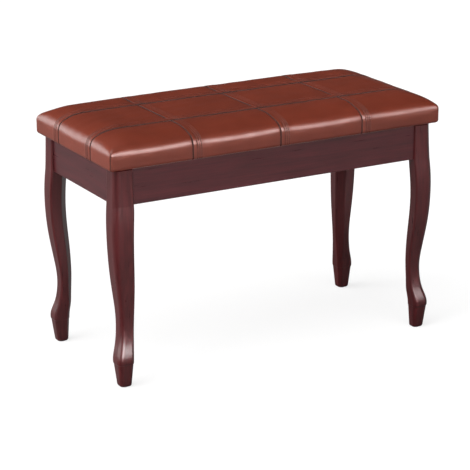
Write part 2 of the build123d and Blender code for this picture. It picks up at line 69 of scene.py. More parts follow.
# the seat's box, and the heights that its hidden underside has to keep to
SEAT_LOW, SEAT_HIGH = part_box("seat_cover")
BOARD_LOW, BOARD_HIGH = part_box("lid_board")
LINING_LOW, LINING_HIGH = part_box("lid_lining")

# seams of the top cover: where each one crosses the seat, and how far it has wandered by the
# time it comes down the border.  The cross seams are at X, the long seams at Y.
CROSS_SEAMS = ((-200.5 * MM, 0.0), (-4.2 * MM, 2.2 * MM), (187.3 * MM, 2.2 * MM))
LONG_SEAMS = ((-85.0 * MM, -5.0 * MM), (66.0 * MM, -5.0 * MM))
# the rows of topstitching run beside each seam, at these distances from it
STITCH_ROWS = (10.0 * MM, 14.5 * MM, 19.0 * MM)
# the fine grid of the cover: its widest cell, the lines on its ridge, and its rings' spacing
FINE_STEP = 4.5 * MM
RIDGE_LINES = 15
RING_STEP = 2.2 * MM
# the same for the coarse grid that the padding is simulated on
COARSE_STEP = 9 * MM
COARSE_RIDGE_LINES = 8
COARSE_RING_STEP = 5 * MM

# how far either side of a seam the padding is sewn down, and the steps of its pins' strength
SEWN_WIDTH = 4.5 * MM
PIN_LEVELS = 20
# the cover's turned-under edge: how far it reaches in under the board, and its thickness
RETURN_WIDTH = 25 * MM
COVER_THICKNESS = 1 * MM

WHITE = (1.0, 1.0, 1.0, 1.0)
# soft boxes of the studio dome: azimuth from +Y towards +X, elevation, half width, half height,
# softness of the sides, softness of the top and bottom (all in degrees), strength, and the share
# of the strength that lights matt surfaces (a polarised box shows mostly in reflections)
SOFT_BOXES = (
    (-100.0, 66.0, 24.0, 18.0, 14.0, 14.0, 3.1, 1.0),
    (174.0, 22.0, 18.0, 6.0, 16.0, 12.0, 23.0, 0.06),
    (-84.0, 24.0, 24.0, 14.0, 12.0, 10.0, 4.0, 1.0),
    (-32.0, 8.0, 16.0, 9.0, 12.0, 9.0, 4.0, 1.0),
)
# the dome's radiance between its boxes
DOME_BASE = 0.03
# the floor's reflectance, its own glow as seen by the camera, and its lit half's as seen by matt
# surfaces
FLOOR_TONE = 0.25
FLOOR_LAMP = 0.76
FLOOR_BOUNCE = 1.15
# cards on the floor: the middle, from +Y towards +X, the half angle, both in degrees, the least
# reach in metres, and the glow
FLAG = (-119.0, 32.0, 0.02, 0.0)
REFLECTOR = (-36.0, 38.0, 0.05, 0.32)
CARD_REACH = 2.2


# ---- colours, nodes and meshes -----------------------------------------------------------------


def linear(code):
    """An sRGB hex colour as linear red, green and blue: the sRGB curve undone channel by channel."""
    channels = [int(code[i : i + 2], 16) / 255 for i in (1, 3, 5)]
    return [c / 12.92 if c <= 0.04045 else ((c + 0.055) / 1.055) ** 2.4 for c in channels]


def rgba(colour):
    return (*colour, 1.0)


def add_node(tree, kind, inputs=None, **settings):
    """Adds a node: its settings are attributes, and an input is a value or the socket it comes from."""
    made = tree.nodes.new(kind)
    for name, value in settings.items():
        setattr(made, name, value)
    for key, value in (inputs or {}).items():
        if isinstance(value, bpy.types.NodeSocket):
            tree.links.new(value, made.inputs[key])
        else:
            made.inputs[key].default_value = value
    return made


def new_material(name):
    material = bpy.data.materials.new(name)
    material.use_nodes = True
    material.node_tree.nodes.clear()
    return material, material.node_tree


def mesh_object(name, points, faces, smooth=True):
    """A mesh object from an array of points and a list of arrays of faces."""
    mesh = bpy.data.meshes.new(name)
    mesh.from_pydata(points.tolist(), [], [f for part in faces for f in part.tolist()])
    mesh.polygons.foreach_set("use_smooth", np.full(len(mesh.polygons), smooth))
    mesh.update()
    made = bpy.data.objects.new(name, mesh)
    bpy.context.scene.collection.objects.link(made)
    return made


def grid_faces(nx, ny):
    """Faces of a grid of nx by ny points that are numbered along y first; they look up."""
    i, j = np.meshgrid(np.arange(nx - 1), np.arange(ny - 1), indexing="ij")
    a = (i * ny + j).ravel()
    return np.stack([a, a + ny, a + ny + 1, a + 1], axis=1)


def read_points(mesh):
    flat = np.empty(len(mesh.vertices) * 3, np.float32)
    mesh.vertices.foreach_get("co", flat)
    return flat.reshape(-1, 3).astype(float)


def read_normals(mesh):
    flat = np.empty(len(mesh.vertices) * 3, np.float32)
    mesh.vertex_normals.foreach_get("vector", flat)
    return flat.reshape(-1, 3).astype(float)


def write_points(mesh, points):
    mesh.vertices.foreach_set("co", points.astype(np.float32).ravel())
    mesh.update()


def evaluated_points(made):
    """The points of an object with its modifiers on."""
    made_now = made.evaluated_get(bpy.context.evaluated_depsgraph_get())
    mesh = made_now.to_mesh()
    points = read_points(mesh)
    made_now.to_mesh_clear()
    return points


def paint(made, material):
    made.data.materials.clear()
    made.data.materials.append(material)


def smoothstep(low, high, value):
    """0 up to low, 1 from high, and t squared times (3 - 2 t) in between."""
    t = np.clip((value - low) / (high - low), 0, 1)
    return t * t * (3 - 2 * t)


def bell(value, width):
    """A bell curve: e to the power of minus (value / width) squared."""
    return np.exp(-((value / width) ** 2))


def waves(along, seed, longest, count=5):
    """Smooth unevenness along a line: a sum of ever shorter sines with seeded phases, about -1 to 1."""
    draw = np.random.default_rng(seed)
    lengths = longest / (1 + np.arange(count) * 0.83)
    phases = draw.uniform(0, 2 * math.pi, count)
    rows = np.sin(2 * math.pi * along[..., None] / lengths + phases)
    return rows.sum(axis=-1) / math.sqrt(count * 2)


# ---- sizes and colours that a user may change ---------------------------------------------------


class CushionSettings(bpy.types.PropertyGroup):
    """Shape of the padded seat."""

    border_height: FloatProperty(
        name="Border height",
        description="From the seat's underside up to where the ridge starts to turn in",
        default=27.0 * MM,
        unit="LENGTH",
    )
    ridge_radius: FloatProperty(
        name="Ridge radius",
        description="Radius of the rounded edge between border and top",
        default=24.0 * MM,
        unit="LENGTH",
    )
    ridge_turn: FloatProperty(
        name="Ridge turn",
        description="How far the ridge turns before the flatter crown takes over",
        default=math.radians(65),
        subtype="ANGLE",
    )
    crown_radius: FloatProperty(
        name="Crown radius",
        description="Radius of the slope between the ridge and the level top",
        default=120.0 * MM,
        unit="LENGTH",
    )
    bottom_radius: FloatProperty(
        name="Bottom radius",
        description="Radius of the border's lower edge",
        default=6.5 * MM,
        unit="LENGTH",
    )
    corner_radius: FloatProperty(
        name="Corner radius",
        description="Radius of the seat's corners, seen from above",
        default=7.0 * MM,
        unit="LENGTH",
    )
    puff: FloatProperty(
        name="Puff",
        description="The most that the padding lifts a panel between its seams",
        default=3.2 * MM,
        unit="LENGTH",
    )
    border_puff: FloatProperty(
        name="Border puff",
        description="The most that the padding pushes out the border",
        default=3.0 * MM,
        unit="LENGTH",
    )
    front_reach: FloatProperty(
        name="Front reach",
        description="How far the padding's front stands out over its board, beyond the rear's",
        default=4.5 * MM,
        unit="LENGTH",
    )
    rear_fill: FloatProperty(
        name="Rear fill",
        description="Extra height of the padding over the rear ridge",
        default=4.5 * MM,
        unit="LENGTH",
    )
    pressure: FloatProperty(
        name="Pressure", description="Pressure inside the padding while it fills", default=4.0
    )
    frames: IntProperty(name="Frames", description="Steps that the padding fills for", default=20)
    voxel: FloatProperty(
        name="Voxel", description="Cell of the padding's simulated mesh", default=6.0 * MM, unit="LENGTH"
    )
    seam_depth: FloatProperty(
        name="Seam depth",
        description="How deep the stitching pulls each seam",
        default=1.1 * MM,
        unit="LENGTH",
    )
    fold_height: FloatProperty(
        name="Fold height",
        description="How far the turned-under allowance lifts the leather beside a seam",
        default=0.35 * MM,
        unit="LENGTH",
    )


class StitchSettings(bpy.types.PropertyGroup):
    """The rows of topstitching."""

    pitch: FloatProperty(
        name="Pitch",
        description="From one stitch to the next",
        default=3.4 * MM,
        unit="LENGTH",
    )
    length: FloatProperty(
        name="Length",
        description="Length of the thread that shows in one stitch",
        default=2.7 * MM,
        unit="LENGTH",
    )
    thread: FloatProperty(
        name="Thread", description="Diameter of the thread", default=0.6 * MM, unit="LENGTH"
    )


class ColourSettings(bpy.types.PropertyGroup):
    """Colours of the bench's finishes."""

    leather: FloatVectorProperty(
        name="Leather",
        description="Colour of the seat's bonded leather",
        default=linear("#682A1B"),
        subtype="COLOR",
    )
    leather_worn: FloatVectorProperty(
        name="Leather, raised",
        description="Colour of the leather where the padding rubs it lighter",
        default=linear("#702E1E"),
        subtype="COLOR",
    )
    thread: FloatVectorProperty(
        name="Thread", description="Colour of the topstitching", default=linear("#2C100B"), subtype="COLOR"
    )
    wood_dark: FloatVectorProperty(
        name="Wood, dark grain",
        description="Stain in the dense grain",
        default=linear("#3C1012"),
        subtype="COLOR",
    )
    wood_light: FloatVectorProperty(
        name="Wood, open grain",
        description="Stain in the open grain",
        default=linear("#531A1C"),
        subtype="COLOR",
    )
    rail_dark: FloatVectorProperty(
        name="Rails, dark grain",
        description="Stain in the dense grain of the aprons",
        default=linear("#3A1518"),
        subtype="COLOR",
    )
    rail_light: FloatVectorProperty(
        name="Rails, open grain",
        description="Stain in the open grain of the aprons",
        default=linear("#521F23"),
        subtype="COLOR",
    )


class StageSettings(bpy.types.PropertyGroup):
    """Camera, floor and light."""

    lens: FloatProperty(name="Lens", description="Focal length", default=157.2, unit="CAMERA")
    camera_place: FloatVectorProperty(
        name="Camera place",
        description="Where the camera stands",
        default=(-1.9947, -3.6185, 1.5242),
        subtype="TRANSLATION",
    )
    yaw: FloatProperty(
        name="Yaw",
        description="The camera's turn from +Y towards +X",
        default=math.radians(28.74),
        subtype="ANGLE",
    )
    pitch: FloatProperty(
        name="Pitch",
        description="How far the camera looks down",
        default=math.radians(17.52),
        subtype="ANGLE",
    )
    roll: FloatProperty(
        name="Roll", description="The camera's roll", default=-0.0086, subtype="ANGLE"
    )
    floor_size: FloatProperty(
        name="Floor size", description="Side of the floor", default=60.0, unit="LENGTH"
    )


# ---- the seat's surface ------------------------------------------------------------------------


def crown_height(inset, shape):
    """Height over the border line at an inset from the edge.

    The ridge is an arc that leaves the border upright: the root of r squared minus (r - inset)
    squared.  At the ridge's turn a flatter arc carries on at the same slope, up to its level top.
    """
    turn = shape.ridge_turn
    ridge = shape.ridge_radius
    crown = shape.crown_radius
    join = ridge * (1 - math.cos(turn))
    middle = join + crown * math.cos(turn)
    base = (ridge - crown) * math.sin(turn)
    on_ridge = np.sqrt(np.maximum(ridge**2 - (ridge - np.minimum(inset, join)) ** 2, 0))
    on_crown = base + np.sqrt(crown**2 - np.clip(middle - inset, 0, crown * 0.999) ** 2)
    return np.where(inset < join, on_ridge, on_crown)


def grid_lines(half, ridge, seams, offsets, step):
    """Grid lines across the seat: the ridge's at both edges, each seam's own, and even ones between."""
    near_seams = [seam + offsets for seam, _ in seams]
    fixed = np.concatenate([ridge - half, half - ridge, *near_seams])
    fixed = np.unique(np.round(fixed, 6))
    spans = [
        np.linspace(a, b, max(1, math.ceil((b - a) / step)), endpoint=False)
        for a, b in zip(fixed, fixed[1:])
    ]
    return np.append(np.concatenate(spans), fixed[-1])


def drift(line, seams, half):
    """How far a grid line has wandered at the border: each seam's own drift, fading to none half-way on."""
    stops = [-half, *(s for s, _ in seams), half]
    values = [0.0, *(d for _, d in seams), 0.0]
    return np.interp(line, stops, values)


class SeatGrid:
    """The seat as one closed grid: a top patch, rings down the border, and a pocket for the board.

    Two parameters run over the top, across and along it.  Round the patch's edge the rings carry
    the border's profile: down, round the bottom edge, in under the board, and out and up round
    it, to close at a point on the board's top.
    """

    def __init__(self, shape, seam_offsets, step, ridge_steps, ring_step):
        self.half = np.array([SEAT_HIGH.x, SEAT_HIGH.y])
        self.line_z = SEAT_LOW.z + shape.border_height
        turns = np.linspace(0, shape.ridge_turn, ridge_steps)
        ridge = shape.ridge_radius * (1 - np.cos(turns))
        self.across = grid_lines(self.half[0], ridge, CROSS_SEAMS, seam_offsets, step)
        self.along = grid_lines(self.half[1], ridge, LONG_SEAMS, seam_offsets, step)
        self.nx = len(self.across)
        self.ny = len(self.along)
        self.edge = self.edge_indices()
        self.rings = self.ring_profile(shape, ring_step)
        self.build(shape)

    def edge_indices(self):
        """The patch's edge points in order, anticlockwise from the front left corner."""
        front = np.arange(self.nx - 1) * self.ny
        right = (self.nx - 1) * self.ny + np.arange(self.ny - 1)
        back = np.arange(self.nx - 1, 0, -1) * self.ny + self.ny - 1
        left = np.arange(self.ny - 1, 0, -1)
        return np.concatenate([front, right, back, left])

    def ring_profile(self, shape, ring_step):
        """Each ring's inset, its height, and the half sizes it is scaled to, or 0 if it is only inset."""
        radius = shape.bottom_radius
        floor = SEAT_LOW.z
        count = max(2, round((self.line_z - floor - radius) / ring_step))
        down = np.linspace(self.line_z, floor + radius, count + 1)[1:]
        turn = np.linspace(0, math.pi / 2, 6)[1:]
        insets = np.concatenate([np.zeros(count), radius * (1 - np.cos(turn))])
        heights = np.concatenate([down, floor + radius * (1 - np.sin(turn))])
        rows = [(i, z, 0.0, 0.0) for i, z in zip(insets, heights)]
        self.shown_rings = len(rows)
        outer = np.array([BOARD_HIGH.x, BOARD_HIGH.y])
        inner = outer - RETURN_WIDTH
        rows.append((0.0, floor, *inner))
        rows.append((0.0, floor + COVER_THICKNESS, *inner))
        rows.append((0.0, floor + COVER_THICKNESS, *outer))
        rows.append((0.0, BOARD_HIGH.z, *outer))
        return rows

    def build(self, shape):
        """Points, faces, and each point's place on the flat cover (before its corners are rounded)."""
        base_x, base_y = np.meshgrid(self.across, self.along, indexing="ij")
        inset_x = self.half[0] - np.abs(base_x)
        inset_y = self.half[1] - np.abs(base_y)
        top = crown_height(np.array([self.half[1]]), shape)[0]
        fx = crown_height(inset_x, shape) / top
        fy = crown_height(inset_y, shape) / top
        # the two slopes meet at a corner as 1 / h^2 = 1 / fx^2 + 1 / fy^2 - 1, which is the lower
        # of the two wherever the other is level
        below = np.sqrt(np.maximum(fx**2 + fy**2 - (fx * fy) ** 2, 1e-12))
        height = top * fx * fy / below
        # the rear ridge is filled fuller, most in the middle of its length
        rear = bell(self.half[1] - base_y - 30 * MM, 22 * MM)
        height = height + shape.rear_fill * rear * fx * (1 - (base_x / self.half[0]) ** 4)
        # a corner's square of grid is drawn in to a quarter disc: a' = a sqrt(1 - b^2 / 2 r^2)
        radius = shape.corner_radius
        a = np.clip(radius - inset_x, 0, None)
        b = np.clip(radius - inset_y, 0, None)
        round_a = a * np.sqrt(1 - b**2 / (2 * radius**2))
        round_b = b * np.sqrt(1 - a**2 / (2 * radius**2))
        sign_x = np.where(base_x < 0, -1.0, 1.0)
        sign_y = np.where(base_y < 0, -1.0, 1.0)
        x = np.where(a > 0, sign_x * (self.half[0] - radius + round_a), base_x)
        y = np.where(b > 0, sign_y * (self.half[1] - radius + round_b), base_y)
        # seams wander on their way down the slopes
        x = x + drift(base_x, CROSS_SEAMS, self.half[0]) * (1 - smoothstep(0.1, 0.95, fy))
        y = y + drift(base_y, LONG_SEAMS, self.half[1]) * (1 - smoothstep(0.1, 0.95, fx))
        z = self.line_z + height
        board_outline = np.stack([x, y], axis=-1).reshape(-1, 2)[self.edge]
        reach = 1 - smoothstep(0, 70 * MM, self.half[1] + base_y)
        y = y - shape.front_reach * reach
        patch = np.stack([x, y, z], axis=-1).reshape(-1, 3)
        outward = np.stack([sign_x * round_a, sign_y * round_b], axis=-1).reshape(-1, 2)[self.edge]
        outward = outward / np.linalg.norm(outward, axis=1, keepdims=True)
        outline = patch[self.edge, :2]
        edge_base = np.stack([base_x, base_y], axis=-1).reshape(-1, 2)[self.edge]
        rings = []
        for inset, level, half_x, half_y in self.rings:
            plan = outline - outward * inset
            if half_x > 0:
                plan = board_outline * np.array([half_x, half_y]) / self.half
            rings.append(np.column_stack([plan, np.full(len(plan), level)]))
        middle = np.array([[0.0, 0.0, self.rings[-1][1]]])
        self.points = np.concatenate([patch, *rings, middle])
        patch_base = np.stack([base_x, base_y], axis=-1).reshape(-1, 2)
        self.base = np.concatenate([patch_base, *([edge_base] * len(rings)), np.zeros((1, 2))])
        ring_number = np.repeat(np.arange(1, len(rings) + 1), len(self.edge))
        self.ring = np.concatenate([np.zeros(len(patch), int), ring_number, [len(rings) + 1]])
        self.faces = self.face_list(len(patch), len(rings))

    def ring_index(self, ring):
        """Point numbers of one ring; ring 0 is the patch's own edge."""
        if ring == 0:
            return self.edge
        return self.nx * self.ny + (ring - 1) * len(self.edge) + np.arange(len(self.edge))

    def face_list(self, patch_count, ring_count):
        faces = [grid_faces(self.nx, self.ny)]
        for ring in range(ring_count):
            upper = self.ring_index(ring)
            lower = self.ring_index(ring + 1)
            faces.append(
                np.stack([upper, lower, np.roll(lower, -1), np.roll(upper, -1)], axis=1)
            )
        last = self.ring_index(ring_count)
        centre = np.full(len(last), patch_count + ring_count * len(last))
        faces.append(np.stack([last, centre, np.roll(last, -1)], axis=1))
        return faces

    def line_of_points(self, axis, position):
        """Point numbers of the grid line at a position, up one border, over the top and down the other."""
        lines = self.across if axis == 0 else self.along
        k = int(np.argmin(np.abs(lines - position)))
        if axis == 0:
            over = k * self.ny + np.arange(self.ny)
        else:
            over = np.arange(self.nx) * self.ny + k
        place = {int(p): n for n, p in enumerate(self.edge)}
        start, end = place[int(over[0])], place[int(over[-1])]
        rings = range(1, self.shown_rings - 2)
        rise = [self.ring_index(r)[start] for r in reversed(rings)]
        fall = [self.ring_index(r)[end] for r in rings]
        return np.concatenate([rise, over, fall]).astype(int)


SEAM_OFFSETS = (
    np.array([-6, -4, -2.8, -2.0, -1.4, -0.9, -0.45, 0, 0.45, 0.9, 1.4, 2.0, 2.8, 4, 6]) * MM
)
ROW_OFFSETS = np.array([-1.3, -0.75, -0.35, 0, 0.35, 0.75, 1.3]) * MM
BAND_END = 22.5 * MM


def seam_lines():
    """Distances from a seam at which the fine grid has lines: the valley, the rows and the band's end."""
    rows = [row + ROW_OFFSETS for row in STITCH_ROWS]
    return np.concatenate([SEAM_OFFSETS, *rows, BAND_END + np.array([-1, 0, 1, 2.2]) * MM])


def fine_grid(shape):
    return SeatGrid(shape, seam_lines(), FINE_STEP, RIDGE_LINES, RING_STEP)


def seam_relief(away, run, shape, seed, valley_share=1.0, spread=1.0):
    """Height of the leather at a distance across from a seam, at a place along it.

    A narrow bell for the valley, a wider one each side where the panels roll into it, a raised
    band over the turned-under allowance, a groove under each row of stitching, and puckers that
    die out away from the seam.  spread widens the valley, where the cover lies slack.
    """
    depth = shape.seam_depth * (1 + 0.12 * waves(run, seed, 31 * MM))
    valley = -depth * bell(away, 0.85 * MM * spread) * valley_share
    shoulders = -0.55 * shape.seam_depth * np.exp(-np.abs(away) / (4.2 * MM)) * valley_share
    band = smoothstep(0.6 * MM, 2.2 * MM, away) - smoothstep(20.3 * MM, 24.5 * MM, away)
    relief = valley + shoulders + shape.fold_height * band
    for n, row in enumerate(STITCH_ROWS):
        groove = 0.5 * MM * (1 + 0.15 * waves(run, seed + 7 + n, 14 * MM))
        relief = relief - groove * bell(away - row, 0.8 * MM)
    puckers = 0.16 * MM * waves(run, seed + 3, 17 * MM) * np.exp(-np.abs(away) / (9 * MM))
    return relief + puckers


def seam_shade(away, level, spread=1.0):
    """How much painted shade darkens the leather at a distance from a seam: full in the valley, less in the
    rows.

    The rows' painted shade is fainter on the level top than on the slopes and the border.
    """
    across = away / spread
    valley = smoothstep(-1.7 * MM, -0.7 * MM, across)
    valley = valley * (1 - smoothstep(1.3 * MM, 2.4 * MM, across))
    rows = sum(bell(away - row, 0.75 * MM) for row in STITCH_ROWS)
    return np.maximum(valley, rows * (0.85 - 0.8 * level))


def corner_distances(half, x, y):
    """How far a place is from the seat's diagonal corner lines, and from its corner along them."""
    inset_x, inset_y = half[0] - np.abs(x), half[1] - np.abs(y)
    return np.abs(inset_x - inset_y), np.maximum(inset_x, inset_y)


def cover_relief(grid, shape):
    """Relief of the sewn cover over its padding, and a 0 to 1 mask of the painted shade in its seams'
    valleys, rows and corner seams.
    """
    x, y = grid.base[:, 0], grid.base[:, 1]
    relief = np.zeros(len(x))
    painted_seam_shade = np.zeros(len(x))
    on_top = grid.ring == 0
    slope = np.minimum(grid.half[0] - np.abs(x), grid.half[1] - np.abs(y))
    height = grid.points[:, 2]
    # on the level top the long seams' bands press the cross seams flat
    pressed = np.zeros(len(x))
    for seam, _ in LONG_SEAMS:
        away = y - seam
        band = smoothstep(0.5 * MM, 3 * MM, away) - smoothstep(20 * MM, 27 * MM, away)
        pressed = np.maximum(pressed, band)
    pressed = pressed * on_top * smoothstep(20 * MM, 45 * MM, slope)
    level = on_top * smoothstep(8 * MM, 34 * MM, slope)
    for n, (seam, _) in enumerate(CROSS_SEAMS):
        away = x - seam
        share = 1 - 0.85 * pressed
        relief += seam_relief(away, y + height, shape, 11 * n + 1, share)
        # painted shade in the cross seam's valley and rows
        painted_seam_shade = np.maximum(painted_seam_shade, seam_shade(away, level) * share)
    for n, (seam, _) in enumerate(LONG_SEAMS):
        away = y - seam
        # the long seams gape a little on the level top, and close up on the slopes
        spread = 1 + 0.9 * level
        relief += seam_relief(away, x + height, shape, 11 * n + 51, 1.0, spread)
        # painted shade in the long seam's valley and rows
        painted_seam_shade = np.maximum(painted_seam_shade, seam_shade(away, level, spread))
    # a seam closes each corner of the border, and dies out on the ridge
    across, out = corner_distances(grid.half, x, y)
    near = bell(across, 1.1 * MM) * (1 - smoothstep(2 * MM, 11 * MM, out))
    relief -= 1.1 * MM * near
    # painted shade in the corner seam's groove
    painted_seam_shade = np.maximum(painted_seam_shade, near)
    # hand-stretched leather is never quite even
    uneven = waves(x + 0.3 * y, 91, 190 * MM) + waves(y - 0.2 * x, 92, 140 * MM)
    relief += 0.22 * MM * uneven * on_top
    shown = grid.ring <= grid.shown_rings - 2
    return relief * shown, painted_seam_shade * shown


# ---- the padding's simulation ------------------------------------------------------------------


def simulated_pad(shape):
    """The padding filled by pressure under its sewn-down seams, as (object at rest, filled points).

    A coarse copy of the seat is remeshed, pinned along its seams and below the border, and filled
    as cloth.  Each point's move is then eased to a limit: limit times tanh(move / limit).
    """
    coarse = SeatGrid(
        shape, np.array([0.0]), COARSE_STEP, COARSE_RIDGE_LINES, COARSE_RING_STEP
    )
    rough = mesh_object("pad_rough", coarse.points, coarse.faces)
    remesh = rough.modifiers.new("remesh", "REMESH")
    remesh.mode = "VOXEL"
    remesh.voxel_size = shape.voxel
    remesh.use_smooth_shade = True
    mesh = bpy.data.meshes.new_from_object(
        rough.evaluated_get(bpy.context.evaluated_depsgraph_get())
    )
    bpy.data.objects.remove(rough)
    pad = bpy.data.objects.new("pad_sim", mesh)
    bpy.context.scene.collection.objects.link(pad)
    rest = read_points(mesh)
    x, y, z = rest.T
    half_x, half_y = coarse.half
    # the cover is held below the foot of the border
    low = 1 - smoothstep(SEAT_LOW.z + 7 * MM, SEAT_LOW.z + 12 * MM, z)
    # the pocket round the board stays on the board
    inside = (np.abs(x) < half_x - 12 * MM) & (np.abs(y) < half_y - 12 * MM)
    pinned = np.maximum(low, (inside & (z < SEAT_LOW.z + 35 * MM)) * 1.0)
    # and sewn down along each seam, which wanders on the outer 40 mm
    on_slope_x = 1 - smoothstep(0, 40 * MM, half_y - np.abs(y))
    on_slope_y = 1 - smoothstep(0, 40 * MM, half_x - np.abs(x))
    for seam, wander in CROSS_SEAMS:
        pinned = np.maximum(pinned, bell(x - seam - wander * on_slope_x, SEWN_WIDTH))
    for seam, wander in LONG_SEAMS:
        pinned = np.maximum(pinned, bell(y - seam - wander * on_slope_y, SEWN_WIDTH))
    # and at the border's corners
    across, out = corner_distances(coarse.half, x, y)
    pinned = np.maximum(pinned, bell(across, 9 * MM) * (1 - smoothstep(8 * MM, 22 * MM, out)))
    group = pad.vertex_groups.new(name="sewn")
    levels = np.round(pinned * PIN_LEVELS).astype(int)
    for level in np.unique(levels):
        members = np.nonzero(levels == level)[0].tolist()
        group.add(members, float(level) / PIN_LEVELS, "REPLACE")
    cloth = pad.modifiers.new("fill", "CLOTH")
    cloth.settings.vertex_group_mass = "sewn"
    cloth.settings.use_pressure = True
    cloth.settings.uniform_pressure_force = shape.pressure
    cloth.settings.effector_weights.gravity = 0
    cloth.settings.quality = 5
    cloth.settings.tension_stiffness = 15
    cloth.settings.bending_stiffness = 2
    cloth.point_cache.frame_start = 1
    cloth.point_cache.frame_end = shape.frames
    scene = bpy.context.scene
    for step in range(1, shape.frames + 1):
        scene.frame_set(step)
    moved = evaluated_points(pad) - rest
    pad.modifiers.remove(cloth)
    scene.frame_set(1)
    length = np.linalg.norm(moved, axis=1, keepdims=True)
    upper = smoothstep(SEAT_LOW.z + 25 * MM, SEAT_LOW.z + 45 * MM, z)[:, None]
    limit = shape.border_puff + (shape.puff - shape.border_puff) * upper
    eased = moved * limit * np.tanh(length / limit) / np.maximum(length, 1e-9)
    return pad, rest + eased


def fill_cover(cover, shape):
    """Carries the filled padding's shape over to the fine cover, bound to the pad's surface at rest."""
    pad, filled = simulated_pad(shape)
    bind = cover.modifiers.new("follow", "SURFACE_DEFORM")
    bind.target = pad
    bpy.context.view_layer.objects.active = cover
    cover.select_set(True)
    bpy.ops.object.surfacedeform_bind(modifier=bind.name)
    if not bind.is_bound:
        raise RuntimeError("the seat cover could not be bound to its padding")
    write_points(pad.data, filled)
    bpy.context.view_layer.update()
    points = evaluated_points(cover)
    cover.modifiers.remove(bind)
    cover.select_set(False)
    write_points(cover.data, points)
    bpy.data.objects.remove(pad)


# ---- materials ---------------------------------------------------------------------------------


def object_place(tree):
    """Where a point lies in its object's own coordinates, in metres."""
    return add_node(tree, "ShaderNodeTexCoord").outputs["Object"]


def stretched(tree, place, sizes):
    """The place divided by a size along each axis, for a pattern with its own scale left at 1."""
    scales = [1 / size for size in sizes]
    turned = add_node(tree, "ShaderNodeMapping", {"Vector": place, "Scale": scales})
    return turned.outputs["Vector"]


def noise(tree, place, scale, octaves, **inputs):
    """Fractal noise with lumps of about 1 / scale; inputs may hold its Roughness and Distortion."""
    sockets = {"Vector": place, "Scale": scale, "Detail": octaves, **inputs}
    return add_node(tree, "ShaderNodeTexNoise", sockets).outputs["Fac"]


def mix(tree, factor, low, high, kind="RGBA"):
    """From low to high as the factor goes from 0 to 1: low times (1 - factor) plus high times it."""
    sockets = {"Factor": factor, "A": low, "B": high}
    return add_node(tree, "ShaderNodeMix", sockets, data_type=kind).outputs["Result"]


def spread(tree, value, low, high, to_low=0.0, to_high=1.0, curve="LINEAR"):
    """From to_low to to_high as the value goes from low to high, and level outside them."""
    sockets = {"Value": value, "From Min": low, "From Max": high, "To Min": to_low, "To Max": to_high}
    made = add_node(tree, "ShaderNodeMapRange", sockets, interpolation_type=curve)
    return made.outputs["Result"]


def calculate(tree, operation, *values):
    """One sum on numbers, such as ADD, or MULTIPLY_ADD: the first times the second plus the third."""
    return add_node(tree, "ShaderNodeMath", dict(enumerate(values)), operation=operation).outputs[0]


def dot(tree, place, axis):
    """How far a place lies along an axis."""
    sockets = {0: place, 1: axis}
    made = add_node(tree, "ShaderNodeVectorMath", sockets, operation="DOT_PRODUCT")
    return made.outputs["Value"]


def bump(tree, height, strength, distance, over=None, invert=False):
    """The normal tilted by a height pattern, over another bump if one is given."""
    sockets = {"Height": height, "Strength": strength, "Distance": distance}
    if over is not None:
        sockets["Normal"] = over
    return add_node(tree, "ShaderNodeBump", sockets, invert=invert).outputs["Normal"]


def principled(tree, sockets):
    shader = add_node(tree, "ShaderNodeBsdfPrincipled", sockets)
    add_node(tree, "ShaderNodeOutputMaterial", {"Surface": shader.outputs["BSDF"]})


def bonded_leather(colours):
    """Bonded leather, pebble-embossed and semi-gloss: a soft wide highlight broken up by its grain."""
    material, tree = new_material("bonded_leather_embossed")
    place = object_place(tree)
    # embossed pebbles are about 1.1 mm across
    pebbles = add_node(
        tree,
        "ShaderNodeTexVoronoi",
        {"Vector": place, "Scale": 1 / (1.1 * MM), "Smoothness": 0.6, "Randomness": 0.9},
        feature="SMOOTH_F1",
    )
    # creases of the hide, about 4 mm apart
    hide = noise(tree, place, 1 / (4 * MM), 4.0, Roughness=0.6)
    # cloudy dye, in patches of about 60 mm
    cloud = spread(tree, noise(tree, place, 1 / (60 * MM), 3.0, Roughness=0.55), 0.35, 0.65)
    tone = mix(tree, cloud, rgba(colours.leather), rgba(colours.leather_worn))
    # painted shade: where the seams, their rows and the corner seams are pulled in, the leather is darkened
    # to about an eighth of its colour, and made dull there to keep reflections out
    painted_seam_shade = add_node(tree, "ShaderNodeAttribute", attribute_name="painted_seam_shade").outputs["Fac"]
    deep = mix(tree, painted_seam_shade, tone, rgba([0.12 * c for c in colours.leather]))
    rough = mix(tree, painted_seam_shade, spread(tree, hide, 0.3, 0.7, 0.33, 0.4), 0.95, "FLOAT")
    fine = bump(tree, pebbles.outputs["Distance"], 0.35, 0.12 * MM, invert=True)
    wide = bump(tree, hide, 0.3, 0.25 * MM, over=fine)
    principled(tree, {"Base Color": deep, "Roughness": rough, "IOR": 1.5, "Normal": wide})
    return material


def polyester_thread(colours):
    """Bonded polyester sewing thread: dark, dull and finely twisted."""
    material, tree = new_material("polyester_thread")
    # the twist's plies are about 0.3 mm apart
    twist = noise(tree, object_place(tree), 1 / (0.3 * MM), 1.0)
    dark = rgba([0.8 * c for c in colours.thread])
    light = rgba([1.25 * c for c in colours.thread])
    tone = mix(tree, twist, dark, light)
    lay = bump(tree, twist, 0.3, 0.05 * MM)
    principled(tree, {"Base Color": tone, "Roughness": 0.75, "Normal": lay})
    return material


